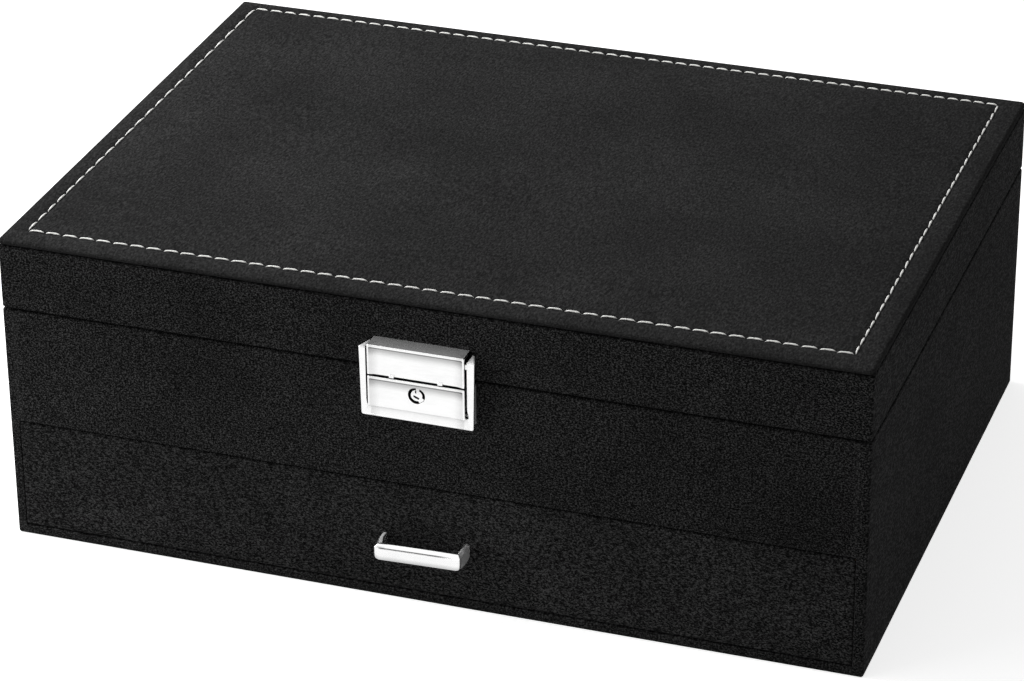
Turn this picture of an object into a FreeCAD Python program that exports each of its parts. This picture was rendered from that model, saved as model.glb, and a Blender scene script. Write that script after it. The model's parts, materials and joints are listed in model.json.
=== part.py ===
import FreeCAD, Part
import os
from FreeCAD import Vector

# Ring box with drawer. Millimetres. The origin is the centre of the underside, +X runs to the
# right of someone facing the lock, the front faces -Y and +Z is up. Each piece is one STEP file.

# ---- Driving dimensions -----------------------------------------------------------------------
width = 280.0             # outside of the velvet, left to right
depth = 200.0             # outside of the velvet, front to back
board = 2.5               # fibreboard of the case, lid and drawer
cloth = 0.5               # velvet with its pile
corner_r = 1.5            # velvet over an upright edge
base_felt = 0.6           # sheet under the base
wrap_lift = 0.1           # height of the velvet's lower edge
bay_top = 41.3            # top of the drawer opening
seam_z = 81.0             # middle of the seam between case and lid
seam_gap = 0.5
frame_top = 102.75        # top of the lid's frame, under the padded panel
rim_top = 105.2           # top of the padded panel at its edge
crown = 1.0               # rise of the padding in the middle

lining = 2.4              # padded card walls of the tray
lip = 1.4                 # what is left of a lining wall above the case's rim
lip_rise = 3.25           # height of the lining above the rim
lock_hollow = 4.6         # space behind the front board for the back of the lock
floor_card = 1.0          # velvet-covered card on a floor
divider = 2.0             # padded divider card

drawer_gap = 0.4          # round the drawer's front
drawer_inset = 0.2        # drawer front behind the case front
drawer_wall = 3.0
drawer_wall_top = 37.5
drawer_back_y = 95.0

roll_gap = 0.35           # between ring rolls
tray_rolls = 8
drawer_rolls = 4

lock_half = 18.15         # half width of the lock frame at its lower end
lock_half_top = 18.65     # and at the top of its rails
lock_low = 66.6           # underside of the lock frame
lock_high = 90.0          # top of its rails
lock_proud = 5.2          # frame in front of the velvet
lock_face_proud = 6.0     # hasp and button in front of the velvet
rail_inner = 16.1         # inner face of a rail
bar_top = 70.1            # top of the frame's lower bar
plate_half = 15.6         # half width of the hasp and of the button
button_low = 70.3
button_high = 80.7
hasp_low = 81.2
hasp_high = 91.4
face_recess = 0.3         # depth of the panel inside the raised edge
face_rim = 0.7            # width of that edge
pan = 0.8                 # plate of the frame against the velvet
pivot_y = -103.5          # the button turns on a pin here
pivot_z = 71.2
pin_r = 0.6
hook_x = 7.8              # middle of each hook
key_z = 76.0
key_r = 2.55

handle_half = 14.1
handle_low = 18.6
handle_high = 23.9
handle_reach = 9.1        # in front of the drawer
handle_bar = 1.5          # thickness of the grip, front to back
handle_leg = 1.2
handle_bevel = 1.1        # along the top of the grip

hinge_x = 84.0            # middle of each hinge
hinge_half = 14.0
hinge_y = 101.9
hinge_z = 81.0
knuckle_r = 1.7
hinge_pin_r = 0.8
leaf = 0.8
leaf_tall = 12.0
leaf_corner_r = 1.8
lid_opening = 95.0        # degrees, where the stop lugs meet the case leaves

# ---- Positions worked out from them -----------------------------------------------------------
side = width / 2
front = -depth / 2
back = depth / 2
side_board = side - cloth             # outer face of a side board
front_board = front + cloth
back_board = back - cloth
inside = side_board - board           # inner face of a side board
inside_front = front_board + board
inside_back = back_board - board
base_top = base_felt + board
rim = seam_z - seam_gap / 2           # top of the case
lid_low = seam_z + seam_gap / 2       # underside of the lid
shelf_low = bay_top + cloth
shelf_top = shelf_low + board
tray_floor = shelf_top + floor_card
hollow_back = inside_front + lock_hollow
tray_side = inside - lining
tray_front = hollow_back + lining
tray_back = inside_back - lining
lip_top = rim + lip_rise
deck_top = frame_top - cloth
deck_low = deck_top - board
panel_low = frame_top + cloth
lock_front = front - lock_proud
face_front = front - lock_face_proud
parts = {}


def block(x0, x1, y0, y1, z0, z1):
    return Part.makeBox(x1 - x0, y1 - y0, z1 - z0, Vector(x0, y0, z0))


def rod_y(x, z, r, y0, y1):
    return Part.makeCylinder(r, y1 - y0, Vector(x, y0, z), Vector(0, 1, 0))


def rod_x(y, z, r, x0, x1):
    return Part.makeCylinder(r, x1 - x0, Vector(x0, y, z), Vector(1, 0, 0))


def fused(first, *others):
    return first.multiFuse(list(others)).removeSplitter()


def group(pieces):
    return Part.makeCompound(pieces)


def edges_along(shape, axis, keep=lambda point: True):
    """Straight edges parallel to an axis whose middle passes the test keep."""
    found = []
    for edge in shape.Edges:
        if edge.Length < 1e-6 or edge.Curve.TypeId != "Part::GeomLine":
            continue
        along = edge.tangentAt(edge.FirstParameter)
        if abs(abs(along.dot(axis)) - 1) < 1e-6 and keep(edge.CenterOfMass):
            found.append(edge)
    return found


UP = Vector(0, 0, 1)
ACROSS = Vector(1, 0, 0)
INWARD = Vector(0, 1, 0)


def upright_rounded(x, y0, y1, z0, z1, r):
    """A block centred on x = 0 with its four upright edges rounded."""
    body = block(-x, x, y0, y1, z0, z1)
    return body.makeFillet(r, edges_along(body, UP))


# ---- Fasteners --------------------------------------------------------------------------------
def screw(x, z, seat_y, tip_y, head_r, head, r):
    """A screw along Y: a domed head with a cross recess on seat_y, its tip in front at tip_y."""
    top_y = seat_y + head
    dome = rod_y(x, z, head_r, seat_y, top_y)
    dome = dome.makeFillet(head * 0.6, [e for e in dome.Edges if e.CenterOfMass.y > top_y - 0.01])
    arm, slot, sunk = head_r * 0.55, head_r * 0.13, head * 0.5
    cross = fused(block(x - arm, x + arm, top_y - sunk, top_y + 1, z - slot, z + slot),
                  block(x - slot, x + slot, top_y - sunk, top_y + 1, z - arm, z + arm))
    return fused(dome, rod_y(x, z, r, tip_y, seat_y)).cut(cross)


def machine_screw(x, z, seat_y, tip_y):
    return screw(x, z, seat_y, tip_y, head_r=1.9, head=1.2, r=0.95)


def hinge_screw(x, z, seat_y, tip_y):
    return screw(x, z, seat_y, tip_y, head_r=1.7, head=0.7, r=0.8)


hinge_screw_x = [s * hinge_x + t * 9.5 for s in (-1, 1) for t in (-1, 1)]
case_screw_z = 73.6
lid_screw_z = 88.6
leaf_face = back + leaf
screw_tip = 97.3


def add_hinge_screws():
    for name, z in (("hinge_case_screws", case_screw_z), ("hinge_lid_screws", lid_screw_z)):
        parts[name] = group([hinge_screw(x, z, leaf_face, screw_tip) for x in hinge_screw_x])


lock_screw_x = 14.2
lock_screw_z = 74.5
boss_r = 1.7
boss_hole_r = 1.75
back_plate = 0.8
hasp_screw_x = 10.5
hasp_screw_z = 86.7


def add_lock_screws():
    seat = inside_front + back_plate
    parts["lock_screws"] = group(
        [machine_screw(s * lock_screw_x, lock_screw_z, seat, front - 0.4) for s in (-1, 1)])
    parts["hasp_screws"] = group(
        [machine_screw(s * hasp_screw_x, hasp_screw_z, inside_front, -103.4) for s in (-1, 1)])


# ---- Case -------------------------------------------------------------------------------------
window_x = 11.5           # half width of the hole for the lock
window_low = 71.8
window_high = 79.2


def lock_cut(y0, y1):
    """Everything that the lock needs open in the front wall between y0 and y1."""
    hole = block(-window_x, window_x, y0, y1, window_low, window_high)
    bosses = [rod_y(s * lock_screw_x, lock_screw_z, boss_hole_r, y0, y1) for s in (-1, 1)]
    return fused(hole, *bosses)


def add_case_boards():
    top = rim - cloth
    parts["base_sheet"] = block(-side_board + 0.1, side_board - 0.1, front_board + 0.1,
                                back_board - 0.1, 0, base_felt)
    parts["base_board"] = block(-side_board, side_board, front_board, back_board,
                                base_felt, base_top)
    parts["case_left_board"] = block(-side_board, -inside, front_board, back_board, base_top, top)
    parts["case_right_board"] = block(inside, side_board, front_board, back_board, base_top, top)
    rear = block(-inside, inside, inside_back, back_board, base_top, top)
    parts["case_back_board"] = rear.cut(parts["hinge_case_screws"])
    face = block(-inside, inside, front_board, inside_front, shelf_low, top)
    parts["case_front_board"] = face.cut(lock_cut(front_board, inside_front))
    parts["shelf_board"] = block(-inside, inside, inside_front, inside_back, shelf_low, shelf_top)
    parts["front_rim_strip"] = block(-inside, inside, inside_front, hollow_back, top - 1.2, top)


def add_case_wrap():
    """Velvet over the outside, over the rim and round the edge above the drawer."""
    skin = upright_rounded(side, front, back, wrap_lift, rim, corner_r)
    core = block(-side_board, side_board, front_board, back_board, -1, rim - cloth)
    mouth = block(-inside, inside, hollow_back, inside_back, rim - 1, rim + 1)
    bay = block(-inside, inside, front - 1, front_board, base_top, bay_top)
    skin = skin.cut(core).cut(mouth).cut(bay)
    edge = block(-inside, inside, front_board, inside_front, bay_top, shelf_low)
    skin = fused(skin, edge)
    parts["case_wrap"] = skin.cut(lock_cut(front - 1, front_board + 0.01)).cut(
        parts["hinge_case_screws"])


def add_tray_lining():
    for name, s in (("left", -1), ("right", 1)):
        x_in, x_out, x_lip = s * tray_side, s * inside, s * (tray_side + lip)
        low = block(min(x_in, x_out), max(x_in, x_out), hollow_back, inside_back, shelf_top, rim)
        high = block(min(x_in, x_lip), max(x_in, x_lip), hollow_back, tray_back + lip,
                     rim, lip_top)
        parts["lining_" + name + "_wall"] = fused(low, high)
    low = block(-tray_side, tray_side, tray_back, inside_back, shelf_top, rim)
    high = block(-tray_side, tray_side, tray_back, tray_back + lip, rim, lip_top)
    parts["lining_back_wall"] = fused(low, high)
    parts["lining_front_wall"] = block(-tray_side, tray_side, hollow_back, tray_front,
                                       shelf_top, lip_top)
    parts["lining_floor"] = block(-tray_side, tray_side, tray_front, tray_back,
                                  shelf_top, tray_floor)


tray_divider_x = 45.0
tray_divider_top = 76.0
tray_cross_top = 74.0


def add_tray_dividers():
    half = divider / 2
    parts["tray_divider"] = block(tray_divider_x - half, tray_divider_x + half,
                                  tray_front, tray_back, tray_floor, tray_divider_top)
    pitch = (tray_back - tray_front + divider) / 3
    middles = [tray_front - half + pitch * n for n in (1, 2)]
    parts["tray_cross_dividers"] = group(
        [block(tray_divider_x + half, tray_side, y - half, y + half, tray_floor, tray_cross_top)
         for y in middles])


def ring_roll(x0, x1, y0, y1, z0, z_shoulder):
    """A padded roll along X with upright sides and a half-round top."""
    r = (y1 - y0) / 2
    middle = (y0 + y1) / 2
    arc = Part.Arc(Vector(x0, y1, z_shoulder), Vector(x0, middle, z_shoulder + r),
                   Vector(x0, y0, z_shoulder)).toShape()
    corners = [Vector(x0, y0, z_shoulder), Vector(x0, y0, z0), Vector(x0, y1, z0),
               Vector(x0, y1, z_shoulder)]
    lines = [Part.makeLine(a, b) for a, b in zip(corners, corners[1:])]
    return Part.Face(Part.Wire(lines + [arc])).extrude(Vector(x1 - x0, 0, 0))


def roll_row(x0, x1, y0, y1, z0, z_shoulder, count):
    pitch = (y1 - y0) / count
    return group([ring_roll(x0, x1, y0 + n * pitch + roll_gap / 2,
                            y0 + (n + 1) * pitch - roll_gap / 2, z0, z_shoulder)
                  for n in range(count)])


def add_tray_rolls():
    parts["tray_ring_rolls"] = roll_row(-tray_side + 0.2, tray_divider_x - divider / 2 - 0.2,
                                        tray_front, tray_back, tray_floor, 57.5, tray_rolls)


# ---- Lock -------------------------------------------------------------------------------------
def add_lock_frame():
    """U-shaped frame: two rails that widen upwards past the seam, a lower bar and a pan."""
    rails = []
    for s in (-1, 1):
        outline = [Vector(s * x, lock_front, z) for x, z in (
            (rail_inner, lock_low), (lock_half, lock_low), (lock_half_top, lock_high),
            (rail_inner, lock_high), (rail_inner, lock_low))]
        face = Part.Face(Part.makePolygon(outline))
        rails.append(face.extrude(Vector(0, lock_proud - 0.3, 0)))
    bar = block(-lock_half, lock_half, lock_front, front, lock_low, bar_top)
    plate = block(-lock_half, lock_half, front - pan, front, lock_low, 80.4)
    bosses = [rod_y(s * lock_screw_x, lock_screw_z, boss_r, front, inside_front)
              for s in (-1, 1)]
    frame = fused(bar, plate, *rails, *bosses)
    bevel = edges_along(frame, ACROSS,
                        lambda p: abs(p.z - lock_low) < 0.01 and abs(p.y - lock_front) < 0.01)
    frame = frame.makeChamfer(1.0, bevel)
    outer = [edge for edge in frame.Edges
             if edge.Length > 15 and abs(edge.CenterOfMass.x) > lock_half
             and edge.CenterOfMass.y < lock_front + 0.01]
    frame = frame.makeFillet(0.4, outer)
    tips = edges_along(frame, ACROSS,
                       lambda p: abs(p.z - lock_high) < 0.01 and abs(p.y - lock_front) < 0.01)
    frame = frame.makeChamfer(0.6, tips)
    window = block(-window_x, window_x, front - 2, front, 72.4, window_high)
    pin = rod_x(pivot_y, pivot_z, pin_r, -lock_half + 0.5, lock_half - 0.5)
    parts["button_pin"] = pin
    parts["lock_frame"] = frame.cut(window).cut(pin).cut(parts["lock_screws"])


def add_lock_back_plate():
    plate = block(-16.5, 16.5, inside_front, inside_front + back_plate, 69.8, 78.9)
    slot = block(-3.2, 3.2, inside_front - 1, inside_front + 2, 72.0, 80.0)
    parts["lock_back_plate"] = plate.cut(slot).cut(parts["lock_screws"])


leaf_front = front - pan - 0.3        # front face of the spring leaf
tab_low = 76.7


def add_catch_spring():
    """Spring-steel leaf: a foot on the pan, two legs and a tab over each hook's nose."""
    foot = block(-10.3, 10.3, leaf_front, front - pan, 70.7, 72.8)
    pieces = []
    for s in (-1, 1):
        leg = (s * 3.8, s * 10.3)
        tab = (s * (hook_x - 1.5), s * (hook_x + 1.5))
        pieces.append(block(min(leg), max(leg), leaf_front, front - pan, 72.8, 78.6))
        pieces.append(block(min(tab), max(tab), -102.0, leaf_front, tab_low, tab_low + 0.3))
    parts["catch_spring"] = fused(foot, *pieces)


def face_panel(z0, z1):
    """What is taken off a plate's front to leave a raised edge along its top and sides."""
    return block(-plate_half + face_rim, plate_half - face_rim, face_front - 1,
                 face_front + face_recess, z0, z1 - face_rim)


def add_hasp():
    """Hollow plate on the lid with two bosses behind it and two hooks below it."""
    body = block(-plate_half, plate_half, face_front, front, hasp_low, hasp_high)
    body = body.makeFillet(0.25, edges_along(body, ACROSS, lambda p: p.y < face_front + 0.1)
                           + edges_along(body, UP, lambda p: p.y < face_front + 0.1))
    body = body.cut(face_panel(hasp_low - 1, hasp_high))
    body = body.cut(block(-14.4, 14.4, -104.7, front + 1, hasp_low + 1.2, hasp_high - 1.2))
    extras = [rod_y(s * hasp_screw_x, hasp_screw_z, 1.8, -104.7, front) for s in (-1, 1)]
    for s in (-1, 1):
        x0, x1 = s * hook_x - 1.3, s * hook_x + 1.3
        extras.append(block(x0, x1, -103.3, -102.1, 75.0, hasp_low))
        extras.append(block(x0 + 0.3, x1 - 0.3, face_front + 0.3, -103.3, hasp_low - 0.25,
                            hasp_low + 0.5))
        nose = Part.makePolygon([Vector(x0, -102.1, 75.0), Vector(x0, -101.5, 75.8),
                                 Vector(x0, -101.5, 76.5), Vector(x0, -102.1, 76.5),
                                 Vector(x0, -102.1, 75.0)])
        extras.append(Part.Face(nose).extrude(Vector(x1 - x0, 0, 0)))
    parts["hasp"] = fused(body, *extras).cut(parts["hasp_screws"])


def add_lock_button():
    """Plate with a raised edge, ears for the pin, a sleeve for the key barrel and two nubs."""
    plate_back = face_front + 1.2
    plate = block(-plate_half, plate_half, face_front, plate_back, button_low, button_high)
    plate = plate.makeFillet(0.25, edges_along(plate, ACROSS, lambda p: p.y < face_front + 0.1)
                             + edges_along(plate, UP, lambda p: p.y < face_front + 0.1))
    plate = plate.cut(face_panel(button_low - 1, button_high))
    pieces = [rod_y(0, key_z, key_r + 0.8, plate_back, plate_back + 2.2)]
    for s in (-1, 1):
        ear = (s * plate_half, s * (plate_half - 1.0))
        pieces.append(block(min(ear), max(ear), plate_back, -102.4, button_low + 0.2, 74.0))
        pieces.append(rod_y(s * 4.9, 77.6, 0.8, plate_back, leaf_front - 0.05))
    button = fused(plate, *pieces)
    button = button.cut(rod_y(0, key_z, key_r + 0.05, face_front - 1, plate_back + 3))
    parts["lock_button"] = button.cut(rod_x(pivot_y, pivot_z, pin_r + 0.06, -18, 18))


def add_key_cylinder():
    """Barrel with a key slot, and behind it a cam held by a small screw."""
    tail = -95.7
    fixing = screw(0, key_z, tail + 0.8, -98.5, head_r=1.5, head=1.0, r=0.7)
    barrel = fused(rod_y(0, key_z, key_r, face_front - 0.1, -102.6),
                   rod_y(0, key_z, 2.3, -102.6, tail))
    slot = block(-0.45, 0.45, face_front - 1, face_front + 3, key_z + 0.6, key_z + 2.3)
    parts["key_barrel"] = barrel.cut(slot).cut(fixing)
    arm = block(0, 6.5, tail, tail + 0.8, key_z - 1.6, key_z + 1.6)
    arm = arm.makeFillet(1.2, edges_along(arm, INWARD, lambda p: p.x > 6))
    parts["lock_cam"] = fused(rod_y(0, key_z, 2.6, tail, tail + 0.8), arm).cut(fixing)
    parts["cam_screw"] = fixing


# ---- Lid --------------------------------------------------------------------------------------
def add_lid_frame():
    low = lid_low + cloth
    parts["lid_left_board"] = block(-side_board, -inside, front_board, back_board, low, deck_low)
    parts["lid_right_board"] = block(inside, side_board, front_board, back_board, low, deck_low)
    face = block(-inside, inside, front_board, inside_front, low, deck_low)
    parts["lid_front_board"] = face.cut(parts["hasp_screws"])
    rear = block(-inside, inside, inside_back, back_board, low, deck_low)
    parts["lid_back_board"] = rear.cut(parts["hinge_lid_screws"])
    parts["lid_deck_board"] = block(-side_board, side_board, front_board, back_board,
                                    deck_low, deck_top)
    skin = upright_rounded(side, front, back, lid_low, frame_top, corner_r)
    core = block(-side_board, side_board, front_board, back_board, low, deck_top)
    mouth = block(-inside, inside, inside_front, inside_back, lid_low - 1, low + 1)
    turned_in = 15.0
    opening = block(-side + turned_in, side - turned_in, front + turned_in, back - turned_in,
                    deck_top - 1, frame_top + 1)
    skin = skin.cut(core).cut(mouth).cut(opening)
    parts["lid_wrap"] = skin.cut(parts["hasp_screws"]).cut(parts["hinge_lid_screws"])


lid_pad = 1.5


def add_lid_lining():
    """Padded velvet under the deck, carried down the inner faces of the frame."""
    low = lid_low + cloth
    shell = block(-inside, inside, inside_front, inside_back, low, deck_low)
    hollow = block(-inside + cloth, inside - cloth, inside_front + cloth, inside_back - cloth,
                   low - 1, deck_low - lid_pad)
    heads = [rod_y(s * hasp_screw_x, hasp_screw_z, 2.2, inside_front - 1, inside_front + 1)
             for s in (-1, 1)]
    parts["lid_lining"] = shell.cut(hollow).cut(fused(*heads))


def raised_pad(inset_low, inset_high, z0, z1):
    """A four-sided pad that narrows upwards."""
    def outline(inset, z):
        x, y = side - inset, back - inset
        return Part.makePolygon([Vector(-x, -y, z), Vector(x, -y, z), Vector(x, y, z),
                                 Vector(-x, y, z), Vector(-x, -y, z)])
    return Part.makeLoft([outline(inset_low, z0), outline(inset_high, z1)], True, True)


def add_lid_top():
    """Stiff card, thin foam and a velvet cover turned in under the card."""
    card_top = panel_low + 1.2
    edge_top = rim_top - cloth
    card = upright_rounded(side_board, front_board, back_board, panel_low, card_top, 1.0)
    layer = upright_rounded(side_board, front_board, back_board, card_top, edge_top, 1.0)
    foam = fused(layer, raised_pad(8, 40, edge_top, edge_top + crown))
    skin = upright_rounded(side, front, back, frame_top, rim_top, corner_r)
    upper = [e for e in skin.Edges if abs(e.CenterOfMass.z - rim_top) < 0.01]
    skin = skin.makeFillet(1.1, upper)
    skin = fused(skin, raised_pad(8, 40, rim_top, rim_top + crown))
    turned_in = 15.0
    opening = block(-side + turned_in, side - turned_in, front + turned_in, back - turned_in,
                    frame_top - 1, panel_low + 0.1)
    parts["lid_top_board"] = card
    parts["lid_top_foam"] = foam
    parts["lid_top_cover"] = skin.cut(card).cut(foam).cut(opening)


# ---- Hinges -----------------------------------------------------------------------------------
knuckle_join = 5.0        # half width of the lid's middle knuckle and its play
stop_play = 0.02


def add_hinge(name, x):
    """Butt hinge on the back with three knuckles, a pin and a lug that stops the lid."""
    x0, x1 = x - hinge_half, x + hinge_half
    j0, j1 = x - knuckle_join, x + knuckle_join
    plate = block(x0, x1, back, leaf_face, hinge_z - leaf_tall, hinge_z)
    plate = plate.makeFillet(leaf_corner_r, edges_along(plate, INWARD, lambda p: p.z < hinge_z - 5))
    plate = plate.cut(block(j0, j1, back - 1, leaf_face + 1, hinge_z - 1.9, hinge_z + 1))
    outer = [rod_x(hinge_y, hinge_z, knuckle_r, a, b) for a, b in ((x0, j0), (j1, x1))]
    bore = rod_x(hinge_y, hinge_z, hinge_pin_r, x0 - 1, x1 + 1)
    case_leaf = fused(plate, *outer).cut(bore)
    parts["hinge_case_leaf_" + name] = case_leaf.cut(parts["hinge_case_screws"])

    tongue = block(j0 + 0.2, j1 - 0.2, back, leaf_face, hinge_z, hinge_z + 2)
    upper = block(x0, x1, back, leaf_face, hinge_z + 1.9, hinge_z + leaf_tall)
    upper = upper.makeFillet(leaf_corner_r, edges_along(upper, INWARD, lambda p: p.z > hinge_z + 5))
    knuckle = rod_x(hinge_y, hinge_z, knuckle_r, j0 + 0.2, j1 - 0.2)
    reach = hinge_y - leaf_face - stop_play
    lug = block(x - 3.5, x + 3.5, hinge_y, hinge_y + 5.5, hinge_z - reach, hinge_z + 0.6)
    lug.rotate(Vector(0, hinge_y, hinge_z), ACROSS, lid_opening - 90)
    loose = rod_x(hinge_y, hinge_z, hinge_pin_r + 0.05, j0 - 1, j1 + 1)
    lid_leaf = fused(tongue, upper, knuckle, lug).cut(loose)
    parts["hinge_lid_leaf_" + name] = lid_leaf.cut(parts["hinge_lid_screws"])
    parts["hinge_pin_" + name] = rod_x(hinge_y, hinge_z, hinge_pin_r, x0, x1)


# ---- Drawer -----------------------------------------------------------------------------------
drawer_front = front + drawer_inset
drawer_half = inside - drawer_gap                 # outer half width of the front
drawer_low = base_top + drawer_gap
drawer_high = bay_top - drawer_gap
drawer_face_back = drawer_front + cloth + board
drawer_side = inside - 1.1                        # outer face of a drawer side
drawer_in = drawer_side - drawer_wall
drawer_bottom_top = drawer_low + 2.0
drawer_floor = drawer_bottom_top + floor_card
drawer_in_back = drawer_back_y - drawer_wall


def add_handle():
    """Flat U-shaped pull whose tabs pass through the front and are bent over washers."""
    face = drawer_front
    tip = face - handle_reach
    grip = block(-handle_half, handle_half, tip, face, handle_low, handle_high)
    low_corners = edges_along(grip, INWARD, lambda p: p.z < handle_low + 0.1)
    grip = grip.makeFillet(1.5, low_corners)
    gap_x = handle_half - handle_leg
    grip = grip.cut(block(-gap_x, gap_x, tip + handle_bar, face + 1, handle_low - 1, handle_high + 1))
    ridge = edges_along(grip, ACROSS, lambda p: p.z > handle_high - 0.1 and p.y < tip + 0.1)
    grip = grip.makeChamfer(handle_bevel, ridge)
    washer = 0.6
    tabs = []
    plates = []
    for s in (-1, 1):
        inner, outer = s * 8.8, s * 13.8
        tab = (s * 13.0, outer)
        seat = drawer_face_back + washer
        tabs.append(block(min(tab), max(tab), face, seat + 0.8, 19.4, 21.9))
        tabs.append(block(min(inner, outer), max(inner, outer), seat, seat + 0.8, 19.4, 21.9))
        edge = (s * 7.6, s * 15.4)
        plates.append(block(min(edge), max(edge), drawer_face_back, seat, 18.2, 23.1))
    parts["handle"] = fused(grip, *tabs)
    parts["handle_washers"] = group([p.cut(parts["handle"]) for p in plates])


def add_drawer_box():
    skin = block(-drawer_half, drawer_half, drawer_front, drawer_face_back,
                 drawer_low, drawer_high)
    card = block(-drawer_half + cloth, drawer_half - cloth, drawer_front + cloth,
                 drawer_face_back, drawer_low + cloth, drawer_high - cloth)
    parts["drawer_front_cover"] = skin.cut(card).cut(parts["handle"])
    parts["drawer_front_board"] = card.cut(parts["handle"])
    for name, s in (("left", -1), ("right", 1)):
        x = (s * drawer_in, s * drawer_side)
        parts["drawer_" + name + "_board"] = block(min(x), max(x), drawer_face_back, drawer_back_y,
                                                   drawer_low, drawer_wall_top)
    parts["drawer_back_board"] = block(-drawer_in, drawer_in, drawer_in_back, drawer_back_y,
                                       drawer_low, drawer_wall_top)
    parts["drawer_bottom_board"] = block(-drawer_in, drawer_in, drawer_face_back, drawer_in_back,
                                         drawer_low, drawer_bottom_top)
    parts["drawer_lining_floor"] = block(-drawer_in + 0.2, drawer_in - 0.2,
                                         drawer_face_back + 0.2, drawer_in_back - 0.2,
                                         drawer_bottom_top, drawer_floor)


drawer_divider_y = -1.0
drawer_divider_top = 33.0
drawer_cells = 4


def add_drawer_dividers():
    half = divider / 2
    y = drawer_divider_y
    parts["drawer_long_divider"] = block(-drawer_in, drawer_in, y - half, y + half,
                                         drawer_floor, drawer_divider_top)
    pitch = 2 * drawer_in / drawer_cells
    parts["drawer_cross_dividers"] = group(
        [block(x - half, x + half, drawer_face_back, y - half, drawer_floor, drawer_divider_top)
         for x in [-drawer_in + pitch * n for n in range(1, drawer_cells)]])
    parts["drawer_ring_rolls"] = roll_row(-drawer_in + 0.2, drawer_in - 0.2, y + half,
                                          drawer_in_back, drawer_floor, 17.0, drawer_rolls)


# ---- Build ------------------------------------------------------------------------------------
add_hinge_screws()
add_lock_screws()
add_case_boards()
add_case_wrap()
add_tray_lining()
add_tray_dividers()
add_tray_rolls()
add_lock_frame()
add_lock_back_plate()
add_catch_spring()
add_hasp()
add_lock_button()
add_key_cylinder()
add_lid_frame()
add_lid_lining()
add_lid_top()
add_hinge("left", -hinge_x)
add_hinge("right", hinge_x)
add_handle()
add_drawer_box()
add_drawer_dividers()

os.makedirs("parts", exist_ok=True)
for node, shape in parts.items():
    shape.exportStep("parts/" + node + ".step")
print(len(parts), "nodes")
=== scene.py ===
import json

import bmesh
import bpy
import numpy as np
from mathutils import Matrix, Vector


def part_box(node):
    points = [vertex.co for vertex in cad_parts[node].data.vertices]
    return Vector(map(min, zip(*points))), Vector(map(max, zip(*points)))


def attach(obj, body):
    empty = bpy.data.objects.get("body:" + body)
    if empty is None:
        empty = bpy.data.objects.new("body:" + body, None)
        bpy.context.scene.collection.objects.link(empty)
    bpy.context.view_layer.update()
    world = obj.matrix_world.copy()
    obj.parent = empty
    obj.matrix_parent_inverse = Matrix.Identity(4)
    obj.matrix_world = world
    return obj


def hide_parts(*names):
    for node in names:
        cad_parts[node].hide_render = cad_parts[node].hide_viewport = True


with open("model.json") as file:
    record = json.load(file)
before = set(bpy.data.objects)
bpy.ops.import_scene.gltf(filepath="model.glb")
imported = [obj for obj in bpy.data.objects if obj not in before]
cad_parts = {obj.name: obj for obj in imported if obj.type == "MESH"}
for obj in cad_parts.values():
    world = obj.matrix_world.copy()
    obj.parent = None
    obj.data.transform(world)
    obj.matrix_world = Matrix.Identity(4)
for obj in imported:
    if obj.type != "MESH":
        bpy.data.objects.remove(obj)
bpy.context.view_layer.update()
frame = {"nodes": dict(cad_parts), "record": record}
nodes = frame["nodes"]
MM = 0.001
scene = bpy.context.scene

# Sizes that several pieces share, in millimetres: half the box's width and depth, the top of the
# case and the foot of the lid, the lock's two plates from their low to their high edge, half their
# width, their front, and the height of the key's axis.
half_wide, half_deep, case_top, lid_foot = 140, 100, 80.75, 81.25
hasp_low, hasp_high, button_low, button_high = 81.2, 91.4, 70.3, 80.7
plate_half, plate_y, key_z = 15.6, -106, 76.0


# ---- Surfaces from grids of points, in millimetres ----
def sheet(points, round_u=False, round_v=False, keep=None):
    """Joins a grid of points with quads, across its ends too where a direction is closed. keep
    is a test of each quad's middle; a quad that fails it is left out."""
    nu, nv = points.shape[:2]
    a, b = np.meshgrid(np.arange(nu if round_u else nu - 1),
                       np.arange(nv if round_v else nv - 1), indexing="ij")
    c, d = (a + 1) % nu, (b + 1) % nv
    faces = np.stack([a * nv + b, c * nv + b, c * nv + d, a * nv + d], -1).reshape(-1, 4)
    points = points.reshape(-1, 3)
    if keep is not None:
        faces = faces[keep(points[faces].mean(1))]
        used, faces = np.unique(faces, return_inverse=True)
        points, faces = points[used], faces.reshape(-1, 4)
    return points, faces


def joined(*parts):
    """Coordinates, each an array or one number, put together as the last axis of a grid."""
    return np.stack(np.broadcast_arrays(*parts), -1)


def swell(p, length, seed):
    """A smooth unevenness of about one unit: seven sine waves in random directions, each some
    length long, added up."""
    rng = np.random.default_rng(seed)
    ways = rng.normal(size=(7, 3))
    ways *= (2 * np.pi / length * rng.uniform(0.6, 1.5, 7) / np.linalg.norm(ways, axis=1))[:, None]
    return np.sin(p @ ways.T + rng.uniform(0, 2 * np.pi, 7)).sum(1) / 3.5


def near_edges(p, boxes, reach):
    """1 on the edges of the boxes and falling away from them as exp(-distance / reach), where
    the distance is the second smallest of those to the three pairs of sides."""
    found = np.zeros(len(p))
    for low, high in boxes:
        middle, half = (np.add(low, high)) / 2, np.subtract(high, low) / 2
        second = np.sort(np.abs(np.abs(p - middle) - half), axis=1)[:, 1]
        found = np.maximum(found, np.exp(-second / reach))
    return found


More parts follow.
